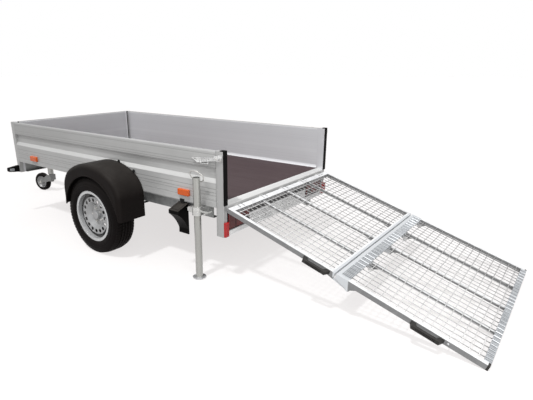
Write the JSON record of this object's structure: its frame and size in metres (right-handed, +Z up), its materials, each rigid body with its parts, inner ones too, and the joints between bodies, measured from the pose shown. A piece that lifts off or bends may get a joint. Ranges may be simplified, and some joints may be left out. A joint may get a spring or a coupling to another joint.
{
  "type": "utility trailer",
  "caption": "Single-axle flatbed utility trailer with low aluminium walls, a folding mesh loading ramp lowered at the rear, prop stands, jockey wheel and a ball coupling.",
  "frame": {"origin": "On the ground under the middle of the whole length, from the ramp's end to the coupling's nose, on the trailer's centre plane.", "axes": "+X points forward to the coupling, +Y to the left side, +Z up."},
  "size_m": [5.3472, 1.853, 0.875],
  "materials": {
    "bed_aluminium": "silver anodised profile",
    "floor_ply": "dark purple-brown film-faced plywood",
    "galvanised": "hot-dip galvanised steel",
    "zinc_bright": "zinc-plated steel",
    "black_plastic": "black moulded plastic",
    "black_rubber": "black rubber",
    "black_tyre": "tyre rubber",
    "rim_silver": "silver-painted steel",
    "red_lens": "red lens",
    "amber_lens": "amber lens",
    "clear_lens": "clear lens",
    "black_steel": "black-painted steel"
  },
  "bodies": {
    "chassis": {"side_members": "galvanised", "cross_members": "galvanised", "drawbar": "galvanised", "coupling": "black_steel", "coupling_lever": "black_plastic", "axle": "galvanised", "floor_panel": "floor_ply", "wall_left": "bed_aluminium", "wall_right": "bed_aluminium", "wall_front": "bed_aluminium", "front_posts": "bed_aluminium", "rear_posts": "bed_aluminium", "post_seals": "black_rubber", "rear_sill": "bed_aluminium", "light_bar": "galvanised", "lamp_housings": "black_plastic", "red_lenses": "red_lens", "side_lamps": "amber_lens", "front_lamp_arms": "black_rubber", "front_lamp_lenses": "clear_lens", "mudguard_left": "black_plastic", "mudguard_right": "black_plastic", "side_brackets": "black_steel", "stand_clamps": "galvanised", "wheel_chocks": "black_plastic", "latches": "zinc_bright", "hinge_brackets": "zinc_bright", "jockey_clamp": "galvanised"},
    "left_wheel": {"tyre_left": "black_tyre", "rim_left": "rim_silver"},
    "right_wheel": {"tyre_right": "black_tyre", "rim_right": "rim_silver"},
    "left_stand": {"stand_left": "galvanised"},
    "right_stand": {"stand_right": "galvanised"},
    "jockey_tube": {"jockey_mast": "galvanised"},
    "jockey_caster": {"jockey_fork": "galvanised"},
    "jockey_wheel": {"jockey_tyre": "black_tyre", "jockey_rim": "rim_silver"},
    "ramp_inner": {"ramp_inner_frame": "zinc_bright", "ramp_inner_mesh": "zinc_bright", "ramp_inner_grip": "black_plastic"},
    "ramp_outer": {"ramp_outer_frame": "zinc_bright", "ramp_outer_mesh": "zinc_bright", "ramp_outer_grip": "black_plastic", "tread_strips": "zinc_bright"}
  },
  "joints": [
    {"name": "left_wheel_spin", "type": "hinge", "parent": "chassis", "child": "left_wheel", "pos_m": [0.02364, 0.8195, 0.295], "axis": [0, 1, 0], "continuous": true},
    {"name": "right_wheel_spin", "type": "hinge", "parent": "chassis", "child": "right_wheel", "pos_m": [0.02364, -0.8195, 0.295], "axis": [0, 1, 0], "continuous": true},
    {"name": "left_stand_lift", "type": "slide", "parent": "chassis", "child": "left_stand", "axis": [0, 0, 1], "range_m": [0, 0.38]},
    {"name": "right_stand_lift", "type": "slide", "parent": "chassis", "child": "right_stand", "axis": [0, 0, 1], "range_m": [-0.16, 0.22]},
    {"name": "jockey_lift", "type": "slide", "parent": "chassis", "child": "jockey_tube", "axis": [0, 0, 1], "range_m": [0, 0.12]},
    {"name": "jockey_swivel", "type": "hinge", "parent": "jockey_tube", "child": "jockey_caster", "pos_m": [1.95661, 0.086, 0.202], "axis": [0, 0, 1], "continuous": true},
    {"name": "jockey_spin", "type": "hinge", "parent": "jockey_caster", "child": "jockey_wheel", "pos_m": [2.08315, 0.1199, 0.1], "axis": [-0.2588, 0.9659, 0], "continuous": true},
    {"name": "ramp_hinge", "type": "hinge", "parent": "chassis", "child": "ramp_inner", "pos_m": [-1.10339, 0, 0.4906], "axis": [0, 1, 0], "range_deg": [0, 106.93]},
    {"name": "ramp_fold", "type": "hinge", "parent": "ramp_inner", "child": "ramp_outer", "pos_m": [-1.93312, 0, 0.20137], "axis": [0, -1, 0], "range_deg": [0, 180]}
  ]
}
